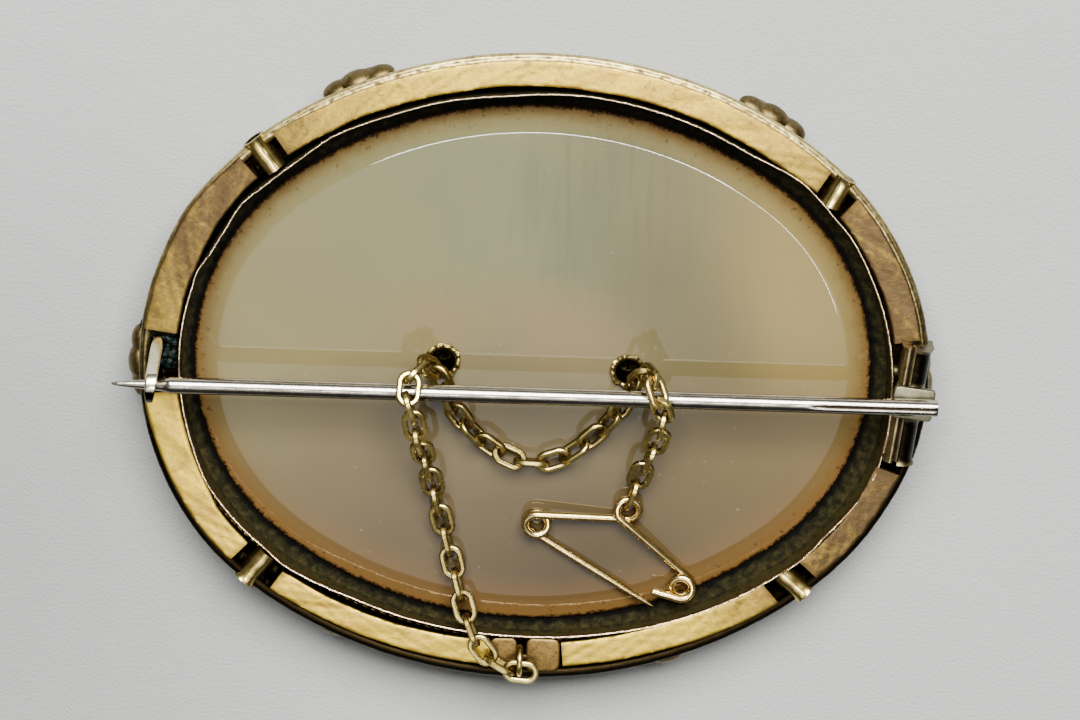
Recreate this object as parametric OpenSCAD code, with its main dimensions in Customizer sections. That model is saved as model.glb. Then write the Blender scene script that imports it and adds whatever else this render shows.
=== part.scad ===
// Oval cameo brooch lying face down, its back up.
// X runs along the long axis, Y along the short axis, Z is up and the brooch rests on Z = 0.

/* [Frame] */
// Length of the oval frame over its edge wire
frame_w = 56; // [54:0.5:58]
// Height of the oval frame over its edge wire
frame_h = 46.3; // [45:0.1:47.5]
// Level of the flat back band above the surface it lies on
band_z = 5.0; // [4.9:0.05:5.2]
// Width of the flat back band
band_w = 2.0; // [1.8:0.1:2.1]
// Thickness of the frame's sheet metal
sheet = 0.35; // [0.3:0.01:0.4]
// Radius of the round wire along the back edge
edge_wire_r = 0.4; // [0.3:0.01:0.42]

/* [Stone] */
// Thickness of the stone from its front shoulder to its flat back
stone_t = 2.05; // [1.9:0.05:2.2]
// Depth that the stone's flat back lies below the band
stone_drop = 1.3; // [1.2:0.05:1.4]
// Width of the bevel round the stone's back
bevel_w = 1.7; // [1.2:0.1:2]
// Depth of that bevel at the stone's edge
bevel_depth = 0.5; // [0.3:0.05:0.6]
// Outer diameter of the two tubes through the stone
eyelet_d = 1.9; // [1.7:0.1:2]

/* [Pin] */
// Diameter of the pin stem
stem_d = 1.2; // [1.1:0.05:1.3]
// Height of the stem's axis above the band
stem_rise = 2.4; // [2.3:0.05:2.5]
// Diameter of the hinge rivet
rivet_d = 0.76; // [0.7:0.02:0.8]
// Outer diameter of the hinge barrels
barrel_d = 2.2; // [2.1:0.05:2.3]

/* [Chain] */
// Outer length of a link
link_l = 2.5; // [2.49:0.005:2.52]
// Outer width of a link
link_w = 1.64; // [1.62:0.01:1.66]
// Width of a link's wire in the plane of the link
link_wire = 0.33; // [0.31:0.01:0.34]
// Thickness of a link
link_t = 0.36; // [0.33:0.01:0.37]

/* [Safety pin] */
// Diameter of the safety pin's wire
pin_wire_d = 0.56; // [0.5:0.02:0.58]

/* [Hidden] */
$fn = 48;

// The oval is four arcs: an end arc left and right, a side arc above and below. They meet on lines
// that run 3 across to 4 up
half_w = frame_w / 2;
half_h = frame_h / 2;
arc_step = (half_w - half_h) / 2;
end_x = 3 * arc_step;
side_y = 4 * arc_step;
end_r = half_w - end_x;
side_r = end_r + 5 * arc_step;
join_angle = atan2(4, 3);

// Offsets from the outline, inwards negative
band_out = -0.45;
band_in = band_out - band_w;
wall_top = -0.3;
wall_foot = -1.33;
setting_out = band_in - 0.3;
setting_wall = 0.3;
stone_edge = -4.0;
lip_in = -4.75;
opening = -4.82;

// Levels
wire_z = band_z - 0.5;
front_z = 1.25;
foot_z = front_z - 0.2;
stone_z = band_z - stone_drop;
shoulder_z = stone_z - stone_t;
stem_z = band_z + stem_rise;
hinge_z = band_z + 0.75;

// Hinge: a straight barrel line beside the frame's right end, leaning with the frame
hinge_at = [26.5, -0.9];
hinge_lean = -7;
running_gap = 0.05;
knuckle_l = 2.3;
upper_ear_l = 2.7;
lower_ear_l = 3.45;
stem_plate = [-1.2, 1.7];
ear_foot_z = 3.9;
ear_trim = 0.1;

// Stem: from the point on the left to the cut end on the right
stem_tip = [-29.4, -0.6];
stem_end = [28.44, -1.0];
stem_lean = atan2(stem_end[1] - stem_tip[1], stem_end[0] - stem_tip[0]);
stem_l = norm(stem_end - stem_tip);
point_l = 3.7;
shoulder_l = 0.9;

catch_x = -26.6;
catch_w = 0.75;
catch_t = 0.42;
catch_y = -0.62;
catch_from = 29;
catch_turn = 186;
catch_leg = 3.75;

ring_phi = 269.2;
ring_r = 1.0;
ring_wire_d = 0.34;
ring_inset = -1.65;
ring_z = band_z + 0.5;

// Cross tubes: where the outline's normal points, how far the tube slants, and the band's gap
//        normal  slant  gap
TUBES = [[45,      18,   2.6],
         [127,      0,   2.8],
         [231,      0,   3.4],
         [307.1,   12,   3.2]];
tube_d = 1.5;
tube_bore = 0.8;
tube_in = setting_out + 0.08;
tube_out = -0.5;

// Ornaments: the outline's normal and how far the lobes on the side are moved outwards
ORNAMENTS = [[60,     0],
             [113.5,  0],
             [180.5,  0],
             [244.5,  0.05],
             [288,    0.1],
             [358,   -0.25]];
rosette_in = -2.0;
rosette_top = 1.1;
// Lobes of an ornament on the side wall
//        along   out     level  radius
LOBES = [[-1.3,  -0.25,   3.2,   0.85],
         [ 0.0,  -0.15,   3.2,   0.9],
         [ 1.3,  -0.25,   3.2,   0.85],
         [-0.62, -0.45,   2.1,   0.85],
         [ 0.78, -0.45,   2.1,   0.85]];

EYELETS = [[-6.33, 0.5], [6.77, 0.0]];

// Spray of flowers carved on the stone's front
front_face = shoulder_z - 0.7;
//           x      y     radius  petals  turn
FLOWERS = [[ 0.0,   0.4,   4.6,    6,      0],
           [-12.2,  3.6,   3.2,    5,     20],
           [ 12.4, -3.2,   3.2,    5,     50],
           [-7.6,  -7.2,   2.5,    5,      0],
           [ 7.8,   7.4,   2.5,    5,     36]];
//          x      y     length  heading
LEAVES = [[-4.6,   4.2,   4.6,   140],
          [-2.0,   5.6,   4.4,   100],
          [ 2.6,   5.2,   4.4,    60],
          [ 4.6,  -3.8,   4.6,   -40],
          [ 2.0,  -5.2,   4.4,   -80],
          [-2.6,  -5.0,   4.4,  -110],
          [-15.2,  1.0,   4.0,   220],
          [ 15.6, -0.6,   4.0,    40],
          [-10.8, -1.6,   3.6,   200],
          [ 11.0,  2.4,   3.6,    20]];
// Points where two links of the safety chain meet, from its ring to the safety pin: the number of the
// meeting point, its place and how far the links are twisted there. Those left out lie on the curve
//        contact  x      y      z   twist
ROUTE = [[ 0,   0.45, -22.20,  6.05,   0],
         [ 1,  -1.15, -22.05,  6.05,   0],
         [ 2,  -2.55, -21.25,  5.95,   0],
         [ 3,  -3.60, -19.90,  5.92,   0],
         [ 4,  -4.25, -18.40,  5.42,   0],
         [ 5,  -4.75, -16.85,  4.80,   0],
         [ 8,  -6.00, -11.90,  4.70,   0],
         [11,  -7.10,  -7.30,  5.70,   0],
         [13,  -7.70,  -4.75,  7.25,   0],
         [14,  -8.00,  -3.60,  8.30,   0],
         [15,  -8.25,  -2.05,  8.65,   0],
         [16,  -8.63,  -0.78,  8.94,  10],
         [17,  -8.52,   0.55,  8.16,  -3],
         [18,  -7.59,   1.16,  6.98,   7],
         [19,  -6.76,   0.58,  6.10,   9],
         [20,  -6.11,  -1.02,  5.69,   8],
         [21,  -5.50,  -2.50,  5.35,   0],
         [22,  -4.65,  -3.80,  5.05,   0],
         [23,  -3.55,  -4.95,  4.80,   0],
         [24,  -2.25,  -5.95,  4.65,  15],
         [25,  -0.75,  -6.65,  4.60,  40],
         [26,   0.90,  -6.75,  4.60,  65],
         [27,   2.45,  -6.20,  4.65,  90],
         [28,   3.80,  -5.15,  4.80,  90],
         [29,   5.00,  -3.95,  5.05,  90],
         [30,   6.00,  -2.65,  5.40,  90],
         [31,   6.75,  -1.25,  5.65,  90],
         [32,   7.40,   0.10,  6.20,  90],
         [33,   7.90,   1.05,  7.30,  90],
         [34,   8.45,   0.85,  8.50,  90],
         [35,   8.95,  -0.50,  8.95,  70],
         [36,   9.30,  -1.95,  8.05,  50],
         [37,   9.15,  -3.40,  7.15,  45],
         [38,   8.65,  -4.90,  6.40,  45],
         [39,   8.10,  -6.40,  5.70,  45],
         [40,   7.55,  -7.99,  5.07,  45],
         [41,   7.03,  -9.62,  4.64,  45]];
link_count = ROUTE[len(ROUTE) - 1][0];

// Safety pin: its loops as centre, radius, turn (1 to the left, -1 to the right), whole turns, levels
//             x       y       r     turn  extra  z_in  z_out
PIN_LOOPS = [[0.60, -11.55,   0.82,  -1,   360,   4.02, 4.95],
             [7.03, -10.05,   0.80,   1,   360,   4.22, 4.86],
             [11.05, -15.95,  0.75,  -1,   360,   4.02, 4.95]];
pin_tip = [9.2, -17.7, 4.1];
pin_tail = [8.96, -16.12, 4.98];

LINK_NAMES = [for (i = [1 : link_count]) str("link_", i < 10 ? "0" : "", i)];

// Point of the oval where its outward normal has this angle, moved out by offset
function on_end(phi) = abs(((phi + 90) % 180) - 90) <= join_angle;
function oval_point(phi, offset) =
    let (dir = [cos(phi), sin(phi)])
    on_end(phi) ? [sign(dir[0]) * end_x, 0] + (end_r + offset) * dir
                : [0, -sign(dir[1]) * side_y] + (side_r + offset) * dir;

module at_rim(phi, offset, z) {
    p = oval_point(phi, offset);
    translate([p[0], p[1], z])
        rotate(phi)
            children();
}

// Keeps the stretch of an arc between its two joins: the end arc on the right, the side arc above
module end_stretch() {
    intersection() {
        translate([end_x, 0])
            rotate(180)
                children();
        translate([0, 0, -1])
            linear_extrude(12)
                polygon([[end_x, 0], [end_x + 30, -40], [end_x + 60, -40], [end_x + 60, 40], [end_x + 30, 40]]);
    }
}

module side_stretch() {
    intersection() {
        translate([0, -side_y])
            children();
        translate([0, 0, -1])
            linear_extrude(12)
                polygon([[0, -side_y], [45, 60 - side_y], [-45, 60 - side_y]]);
    }
}

// Sweeps a flat section round the oval: X is the offset from the outline and Y the level
module around_oval() {
    for (turn = [0, 180])
        rotate(turn) {
            end_stretch()
                rotate_extrude($fn = 180)
                    translate([end_r, 0])
                        children();
            side_stretch()
                rotate_extrude($fn = 300)
                    translate([side_r, 0])
                        children();
        }
}

// Solid oval plate between two levels
module oval_plate(offset, z_low, z_high) {
    for (turn = [0, 180])
        rotate(turn) {
            end_stretch()
                translate([0, 0, z_low])
                    cylinder(r = end_r + offset, h = z_high - z_low, $fn = 180);
            side_stretch()
                translate([0, 0, z_low])
                    cylinder(r = side_r + offset, h = z_high - z_low, $fn = 300);
        }
}

// Flat band, edge wire, side wall that leans in towards the front, domed front and its two rims
module frame_section() {
    dome_r = 2.75;
    dome_at = [-2.45, front_z + 2.0];
    wall_w = 1.2 * sheet;
    inner_rim = 0.32;
    outer_rim = 0.34;
    translate([band_in, band_z - sheet])
        square([band_w, sheet]);
    translate([-edge_wire_r, wire_z])
        circle(edge_wire_r);
    polygon([[wall_top, wire_z - 0.1],
             [wall_top - wall_w, wire_z - 0.1],
             [wall_foot - wall_w, foot_z],
             [wall_foot, foot_z]]);
    intersection() {
        translate(dome_at)
            difference() {
                circle(dome_r);
                circle(dome_r - sheet);
            }
        translate([-4.4, 0])
            square([4.4 + wall_foot - 0.1, front_z + 0.05]);
    }
    translate([lip_in + inner_rim, front_z])
        circle(inner_rim);
    translate([wall_foot - outer_rim / 2, foot_z])
        circle(outer_rim);
}

// A gap in the band, seen from above as a box along the rim
module band_gap(phi, along, slant = 0) {
    at_rim(phi, (band_in + band_out) / 2, band_z)
        rotate(slant)
            cube([band_w + 0.7, along, 2 * sheet + 0.2], center = true);
}

// A short tube lies across each gap, from the wall to just short of the setting
module cross_tube(phi, slant) {
    at_rim(phi, (tube_in + tube_out) / 2, band_z - tube_d / 2 + 0.1)
        rotate([0, 0, slant])
            rotate([0, 90, 0])
                children();
}
function tube_length(slant) = (tube_out - tube_in - tube_d * sin(abs(slant))) / cos(slant);

// Ornament: on the front a heart and an oval ring of petals, cut off inside the frame's hollow, and
// lobes that go on round the side wall
module ornament(phi, moved) {
    petal_r = 0.85;
    heart_r = 0.85;
    at_rim(phi, rosette_in, 0)
        intersection() {
            union() {
                translate([0, 0, heart_r])
                    sphere(heart_r);
                for (a = [0 : 45 : 315])
                    translate([1.04 * cos(a), 1.45 * sin(a), petal_r + 0.12])
                        sphere(petal_r);
            }
            translate([-4, -4, -1])
                cube([8, 8, rosette_top + 1]);
        }
    for (l = LOBES)
        at_rim(phi, l[1] + moved, l[2])
            translate([0, l[0], 0])
                sphere(l[3]);
}

// Places a piece on the hinge line: Z runs along the barrels, upwards in the view
module on_hinge_line() {
    translate([hinge_at[0], hinge_at[1], hinge_z])
        rotate(hinge_lean)
            rotate([-90, 0, 0])
                children();
}

// One outer barrel: slotted along its top and flared at its far end
module hinge_barrel(from, length, flare_at) {
    difference() {
        union() {
            translate([0, 0, from])
                cylinder(d = barrel_d, h = length);
            translate([0, 0, flare_at])
                cylinder(d = barrel_d + 0.4, h = 0.3);
            translate([-barrel_d / 2, 0, from])
                cube([barrel_d, hinge_z - ear_foot_z, length]);
        }
        translate([0, 0, from - 1])
            cylinder(d = rivet_d + 2 * running_gap, h = length + 2);
        translate([-0.62, -barrel_d, from - 0.1])
            cube([0.5, barrel_d, length + 0.2]);
    }
}

// The two outer barrels, trimmed to the frame's outline below
module hinge_ears() {
    ear_gap = knuckle_l / 2 + running_gap;
    intersection() {
        on_hinge_line() {
            hinge_barrel(ear_gap, upper_ear_l, ear_gap + upper_ear_l - 0.3);
            hinge_barrel(-ear_gap - lower_ear_l, lower_ear_l, -ear_gap - lower_ear_l);
        }
        oval_plate(ear_trim, 0, band_z + 4);
    }
}

// C catch: a flat strip that rises from its foot and curls over the stem, open towards -Y
module catch_hook() {
    bend_r = stem_d / 2 + 0.28;
    translate([catch_x, catch_y, stem_z])
        rotate([90, 0, 90])
            translate([0, 0, -catch_w / 2])
                rotate(catch_from) {
                    rotate_extrude(angle = catch_turn)
                        translate([bend_r, 0])
                            square([catch_t, catch_w]);
                    translate([bend_r, -catch_leg, 0])
                        cube([catch_t, catch_leg + 0.01, catch_w]);
                }
    translate([catch_x - 0.85, 1.35, band_z - 1.1])
        cube([1.7, 1.3, 0.85]);
}

// Plate for the safety chain's ring: thin sheet in the band's gap, cut through beside a bar for the ring
module chain_plate() {
    plate_t = 0.28;
    bar_w = 0.6;
    slot_w = 0.5;
    difference() {
        at_rim(270, (band_in + band_out) / 2, band_z - 0.1)
            translate([-band_w / 2, -2.55, -plate_t / 2])
                cube([band_w, 5.1, plate_t]);
        for (side = [-1, 1])
            at_rim(ring_phi, ring_inset + side * (bar_w / 2 + 0.5), band_z)
                cube([1.0, slot_w, 2], center = true);
    }
}

module frame() {
    color("#c9ab78")
        difference() {
            union() {
                difference() {
                    around_oval()
                        frame_section();
                    for (t = TUBES)
                        band_gap(t[0], t[2], t[1] / 2);
                    band_gap(354.5, 9.8);
                    band_gap(179.2, 4.6);
                    band_gap(270.5, 4.75);
                }
                for (t = TUBES)
                    cross_tube(t[0], t[1])
                        cylinder(d = tube_d, h = tube_length(t[1]), center = true);
                for (o = ORNAMENTS)
                    ornament(o[0], o[1]);
                hinge_ears();
                catch_hook();
                chain_plate();
            }
            for (t = TUBES)
                cross_tube(t[0], t[1])
                    cylinder(d = tube_bore, h = 4, center = true);
        }
}

module setting_section() {
    inner = setting_out - setting_wall;
    polygon([[setting_out, shoulder_z - 0.45],
             [setting_out, band_z],
             [inner, band_z],
             [inner, stone_z - bevel_depth + 0.3],
             [stone_edge + 0.05, stone_z - bevel_depth - 0.1],
             [stone_edge + 0.05, shoulder_z],
             [inner - 0.25, shoulder_z],
             [inner, shoulder_z - 0.45]]);
}

module setting() {
    color("#6d5634")
        around_oval()
            setting_section();
}

// A low round swelling on the stone's front, this wide and this high
module swelling(radius, height) {
    ball_r = (radius * radius + height * height) / (2 * height);
    intersection() {
        translate([0, 0, front_face - height + ball_r])
            sphere(ball_r, $fn = 40);
        translate([-radius - 1, -radius - 1, front_face - height - 1])
            cube([2 * radius + 2, 2 * radius + 2, height + 1.15]);
    }
}

module flower(radius, petals) {
    for (k = [0 : petals - 1])
        rotate(360 * k / petals)
            translate([0.62 * radius, 0, 0])
                swelling(0.37 * radius, 0.5);
    swelling(0.24 * radius, 0.68);
}

// A pointed leaf that starts at the origin and runs along X
module leaf(length) {
    arc_r = 0.75 * length;
    lift = sqrt(arc_r * arc_r - length * length / 4);
    translate([length / 2, 0, 0])
        intersection() {
            swelling(length / 2 + 0.05, 0.42);
            translate([0, -lift, 0])
                cylinder(r = arc_r, h = 5);
            translate([0, lift, 0])
                cylinder(r = arc_r, h = 5);
        }
}

module cameo() {
    edge_z = stone_z - bevel_depth;
    flat_edge = stone_edge - bevel_w;
    color("#b9ae90")
        difference() {
            union() {
                around_oval()
                    polygon([[flat_edge - 0.3, shoulder_z],
                             [stone_edge, shoulder_z],
                             [stone_edge, edge_z],
                             [flat_edge, stone_z],
                             [flat_edge - 0.3, stone_z]]);
                oval_plate(flat_edge - 0.15, shoulder_z, stone_z);
                oval_plate(opening, front_face, shoulder_z + 0.1);
                for (f = FLOWERS)
                    translate([f[0], f[1], 0])
                        rotate(f[4])
                            flower(f[2], f[3]);
                for (l = LEAVES)
                    translate([l[0], l[1], 0])
                        rotate(l[3])
                            leaf(l[2]);
            }
            for (e = EYELETS)
                translate([e[0], e[1], -1])
                    cylinder(d = eyelet_d + 0.1, h = band_z + 2);
        }
}

module eyelet(at) {
    head_z = front_face;
    color("#d8b25a")
        translate([at[0], at[1], 0])
            difference() {
                union() {
                    translate([0, 0, head_z - 0.2])
                        cylinder(d = eyelet_d, h = stone_z - head_z + 0.4);
                    translate([0, 0, stone_z + 0.02])
                        cylinder(d1 = eyelet_d, d2 = eyelet_d + 0.5, h = 0.3);
                    translate([0, 0, head_z - 0.3])
                        cylinder(d = eyelet_d + 0.7, h = 0.28);
                }
                translate([0, 0, head_z + 0.2])
                    cylinder(d = eyelet_d - 0.36, h = 5);
            }
}

module eyelet_left() {
    eyelet(EYELETS[0]);
}

module eyelet_right() {
    eyelet(EYELETS[1]);
}

module pin_stem() {
    r = stem_d / 2;
    plate_z = stem_z - r - 0.42;
    color("silver") {
        difference() {
            union() {
                translate([stem_tip[0], stem_tip[1], stem_z])
                    rotate(stem_lean)
                        rotate([0, 90, 0]) {
                            translate([0, 0, point_l + shoulder_l])
                                cylinder(r = r, h = stem_l - point_l - shoulder_l);
                            translate([0, 0, point_l])
                                cylinder(r1 = 0.36, r2 = r, h = shoulder_l);
                            cylinder(r1 = 0.05, r2 = 0.36, h = point_l);
                        }
                on_hinge_line()
                    translate([stem_plate[0], -(plate_z + 0.5 - hinge_z), -knuckle_l / 2])
                        cube([stem_plate[1] - stem_plate[0], 0.5, knuckle_l]);
                on_hinge_line()
                    translate([0, 0, -knuckle_l / 2])
                        cylinder(d = barrel_d - 0.1, h = knuckle_l);
            }
            on_hinge_line()
                cylinder(d = rivet_d + 2 * running_gap, h = knuckle_l + 2, center = true);
        }
    }
}

module hinge_rivet() {
    reach = knuckle_l / 2 + running_gap;
    color("#8a7a5c")
        on_hinge_line()
            translate([0, 0, -reach - lower_ear_l])
                cylinder(d = rivet_d, h = lower_ear_l + 2 * reach + upper_ear_l);
}

module chain_ring() {
    color("#d9b866")
        at_rim(ring_phi, ring_inset, ring_z)
            rotate([90, 0, 0])
                rotate_extrude()
                    translate([ring_r, 0])
                        circle(d = ring_wire_d, $fn = 24);
}

// Smooth curve through the rows of the route, at any meeting point
function route_row(c, i = 0) = i >= len(ROUTE) - 2 || c < ROUTE[i + 1][0] ? i : route_row(c, i + 1);
function route_slope(i) =
    let (a = max(i - 1, 0), b = min(i + 1, len(ROUTE) - 1))
    (ROUTE[b] - ROUTE[a]) / (ROUTE[b][0] - ROUTE[a][0]);
function route_at(c) =
    let (i = route_row(c), h = ROUTE[i + 1][0] - ROUTE[i][0], u = (c - ROUTE[i][0]) / h)
    (2 * u * u * u - 3 * u * u + 1) * ROUTE[i] + (u * u * u - 2 * u * u + u) * h * route_slope(i)
    + (3 * u * u - 2 * u * u * u) * ROUTE[i + 1] + (u * u * u - u * u) * h * route_slope(i + 1);
function unit(v) = v / norm(v);
function place(row) = [row[1], row[2], row[3]];

MEETS = [for (c = [0 : link_count]) route_at(c)];
function link_heading(i) = unit(place(MEETS[i]) - place(MEETS[i - 1]));

// Each link's upward side is carried on from the link before it
function carried(up, heading) = unit(up - (up * heading) * heading);
UPS = [for (i = 1, up = carried([0, 0, 1], link_heading(1));
            i <= link_count;
            i = i + 1, up = carried(up, link_heading(min(i, link_count)))) up];

// One flat oval ring: two half rings and two bars, its long side along X
module link_body() {
    bend = (link_w - link_wire) / 2;
    straight = link_l - link_w;
    for (turn = [0, 180])
        rotate(turn) {
            translate([straight / 2, 0])
                rotate(-90)
                    rotate_extrude(angle = 180, $fn = 32)
                        translate([bend, 0])
                            wire_section();
            translate([-straight / 2, bend, 0])
                rotate([90, 0, 90])
                    linear_extrude(straight)
                        wire_section();
        }
}

module wire_section() {
    intersection() {
        circle(d = 1.1 * link_t, $fn = 32);
        square([link_wire, link_t], center = true);
    }
}

// Link number i joins two neighbouring meeting points; every second one is turned on edge
module chain_link(i) {
    along = link_heading(i);
    up = UPS[i - 1];
    twist = (MEETS[i - 1][4] + MEETS[i][4]) / 2 + (i % 2 == 0 ? 90 : 0);
    across = cos(twist) * cross(up, along) + sin(twist) * up;
    face = cross(along, across);
    color("#d9b866")
        translate((place(MEETS[i - 1]) + place(MEETS[i])) / 2)
            rotate([atan2(across[2], face[2]), -asin(along[2]), atan2(along[1], along[0])])
                link_body();
}

// Heading of the straight arm between two loops that turn opposite ways
function arm_heading(a, b) =
    let (v = [b[0] - a[0], b[1] - a[1]], lean = asin((a[2] + b[2]) / norm(v)))
    atan2(v[1], v[0]) + a[3] * lean;
function loop_point(l, heading, z) =
    [l[0] + l[2] * cos(heading - 90 * l[3]), l[1] + l[2] * sin(heading - 90 * l[3]), z];

// Points round one loop, from one heading to the next, turning past a whole circle where asked
function loop_points(l, h_in, h_out) =
    let (gap = l[3] * (h_out - h_in), sweep = (gap % 360 + 360) % 360 + (l[4] > 0 && (gap % 360 + 360) % 360 < 250 ? l[4] : 0),
         n = ceil(sweep / 20))
    [for (k = [0 : n]) loop_point(l, h_in + l[3] * sweep * k / n, l[5] + (l[6] - l[5]) * k / n)];

coil = PIN_LOOPS[0];
eye = PIN_LOOPS[1];
hook = PIN_LOOPS[2];
tip_heading = let (v = [coil[0] - pin_tip[0], coil[1] - pin_tip[1]]) atan2(v[1], v[0]) + asin(coil[2] / norm(v));
tail_heading = 163.7;
PIN_PATH = concat([pin_tip],
                  loop_points(coil, tip_heading, arm_heading(coil, eye)),
                  loop_points(eye, arm_heading(coil, eye), arm_heading(eye, hook)),
                  loop_points(hook, arm_heading(eye, hook), tail_heading),
                  [pin_tail]);

// Round wire along a path, pointed at its first end
pin_sides = 10;
function path_dir(path, i) =
    let (a = path[max(0, i - 1)], b = path[min(len(path) - 1, i + 1)]) (b - a) / norm(b - a);
function wire_ring(path, i, r) =
    let (d = path_dir(path, i), side = [-d[1], d[0], 0] / norm([d[0], d[1]]), up = cross(d, side))
    [for (k = [0 : pin_sides - 1]) path[i] + r * (cos(360 * k / pin_sides) * side + sin(360 * k / pin_sides) * up)];

module safety_pin() {
    n = len(PIN_PATH);
    r = pin_wire_d / 2;
    points = [for (i = [0 : n - 1]) each wire_ring(PIN_PATH, i, i == 0 ? 0.05 : r)];
    sides = [for (i = [0 : n - 2], k = [0 : pin_sides - 1])
        let (a = i * pin_sides + k, b = i * pin_sides + (k + 1) % pin_sides)
        [a, b, b + pin_sides, a + pin_sides]];
    color("#d9b866")
        polyhedron(points, concat([[for (k = [0 : pin_sides - 1]) pin_sides - 1 - k]], sides,
                                  [[for (k = [0 : pin_sides - 1]) (n - 1) * pin_sides + k]]));
}

frame();
setting();
cameo();
eyelet_left();
eyelet_right();
pin_stem();
hinge_rivet();
chain_ring();
safety_pin();
for (i = [1 : link_count])
    chain_link(i);
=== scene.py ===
# Back of an oval cameo brooch, lying face down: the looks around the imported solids.
# Numbers are millimetres unless a name says otherwise; X runs along the brooch, Y up the view, Z up.
import random
from math import asin, atan2, cos, degrees, radians, sin

import bmesh
import bpy
import numpy as np
from mathutils import Matrix, Vector

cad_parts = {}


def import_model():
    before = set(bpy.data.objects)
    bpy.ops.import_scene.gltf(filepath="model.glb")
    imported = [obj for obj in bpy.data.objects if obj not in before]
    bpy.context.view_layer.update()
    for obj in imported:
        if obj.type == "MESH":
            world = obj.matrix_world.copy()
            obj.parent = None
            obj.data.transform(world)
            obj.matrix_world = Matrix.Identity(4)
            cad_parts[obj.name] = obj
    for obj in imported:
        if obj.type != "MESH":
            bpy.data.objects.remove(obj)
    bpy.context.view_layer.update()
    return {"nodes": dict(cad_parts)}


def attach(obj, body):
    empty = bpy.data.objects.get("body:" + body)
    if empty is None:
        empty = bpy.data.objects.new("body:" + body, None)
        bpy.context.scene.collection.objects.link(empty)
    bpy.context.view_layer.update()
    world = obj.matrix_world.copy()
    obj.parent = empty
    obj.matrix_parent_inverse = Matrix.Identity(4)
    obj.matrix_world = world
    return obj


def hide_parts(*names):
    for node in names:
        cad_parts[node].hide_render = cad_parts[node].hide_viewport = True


MM = 0.001

# Camera first: the photograph's frame is 1080 x 720
VIEW_TILT = radians(18)
VIEW_ROLL = radians(1.36)
AIM = Vector((0, 0.55, 4))
TO_RIGHT, TO_TOP = 0.53, 0.18
DISTANCE = 300
LENS = 141.6


def add(name, data):
    obj = bpy.data.objects.new(name, data)
    bpy.context.scene.collection.objects.link(obj)
    return obj


def camera():
    data = bpy.data.cameras.new("camera")
    data.lens = LENS
    data.sensor_width = 36
    data.clip_start = 0.01
    data.clip_end = 20
    back = Vector((0, sin(VIEW_TILT), cos(VIEW_TILT)))
    level = Vector((0, cos(VIEW_TILT), -sin(VIEW_TILT)))
    right = Vector((1, 0, 0)) * cos(VIEW_ROLL) + level * sin(VIEW_ROLL)
    up = Vector((-1, 0, 0)) * sin(VIEW_ROLL) + level * cos(VIEW_ROLL)
    place = Matrix((right, up, back)).transposed().to_4x4()
    place.translation = (AIM + back * DISTANCE + right * TO_RIGHT + up * TO_TOP) * MM
    obj = add("camera", data)
    obj.matrix_world = place
    bpy.context.scene.camera = obj


camera()
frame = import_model()
nodes = frame["nodes"]

# The oval outline: an end arc left and right, a side arc above and below, the angles where they meet
# and the distances along the outline up to there
END_X, SIDE_Y, END_R, SIDE_R = 7.275, 9.7, 20.725, 32.85
JOIN = degrees(atan2(4, 3))
BREAKS = np.array([0, JOIN, 180 - JOIN, 180 + JOIN, 360 - JOIN, 360])
ARCS = np.radians(np.diff(BREAKS)) * [END_R, SIDE_R, END_R, SIDE_R, END_R]
MARKS = np.concatenate([[0], np.cumsum(ARCS)])
RIM = MARKS[-1]
# The back band's level and its offsets from the outline: outer edge, inner edge and middle
BAND_Z = 5.0
BAND_OUT, BAND_IN, BAND_MID = -0.45, -2.45, -1.45
# The stone's back and the offsets of its side and of its flat
STONE_Z = 3.7
STONE_OUT, STONE_FLAT = -4.0, -6.05
STEM_Z = 7.4
HINGE_AT, HINGE_LEAN, HINGE_Z = (26.5, -0.9), -7, 5.75
UP = np.array([0, 0, 1.0])


def unit(value):
    """Kept between 0 and 1."""
    return np.clip(value, 0, 1)


def circle(count):
    """Angles round a circle, evenly spaced."""
    return np.linspace(0, 2 * np.pi, count, endpoint=False)


def arc_points(angles, radius, x=0, y=0):
    return [(x + radius * cos(t), y + radius * sin(t)) for t in angles]


def turned(x, y, a):
    """Coordinates seen from a frame that is turned by an angle."""
    return x * cos(a) + y * sin(a), y * cos(a) - x * sin(a)


def on_end(phi):
    return np.abs((phi + 90) % 180 - 90) <= JOIN + 1e-9


def oval(phi, offset):
    """Point of the outline whose outward normal has this angle, moved out by offset."""
    phi = np.asarray(phi, float)
    c, s = np.cos(np.radians(phi)), np.sin(np.radians(phi))
    end = on_end(phi)
    x = np.where(end, np.sign(c) * END_X + (END_R + offset) * c, (SIDE_R + offset) * c)
    y = np.where(end, (END_R + offset) * s, -np.sign(s) * SIDE_Y + (SIDE_R + offset) * s)
    return x, y


def along(phi):
    """Distance along the outline from its right end to the point with this normal."""
    return np.floor(phi / 360) * RIM + np.interp(phi % 360, BREAKS, MARKS)


def angle_at(s):
    return np.floor(s / RIM) * 360 + np.interp(s % RIM, MARKS, BREAKS)


def rim_grid(s, offset, z):
    """Grid of points from distances along the outline, offsets and levels, one row for each distance."""
    shape = np.broadcast_shapes(s.shape, np.shape(offset), np.shape(z))
    x, y = oval(angle_at(np.broadcast_to(s, shape)), np.broadcast_to(offset, shape))
    return np.stack([x, y, np.broadcast_to(z, shape)], -1)


def wave(s, seed, longest, shortest):
    """Uneven line along the rim, about -1 to 1, the same in every run."""
    rng = random.Random(seed)
    total = 0
    for _ in range(8):
        turns = max(1, round(RIM / (longest * (shortest / longest) ** rng.random())))
        total = total + rng.uniform(0.5, 1) * np.sin(2 * np.pi * (turns * s / RIM + rng.random()))
    return total / 4


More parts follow.
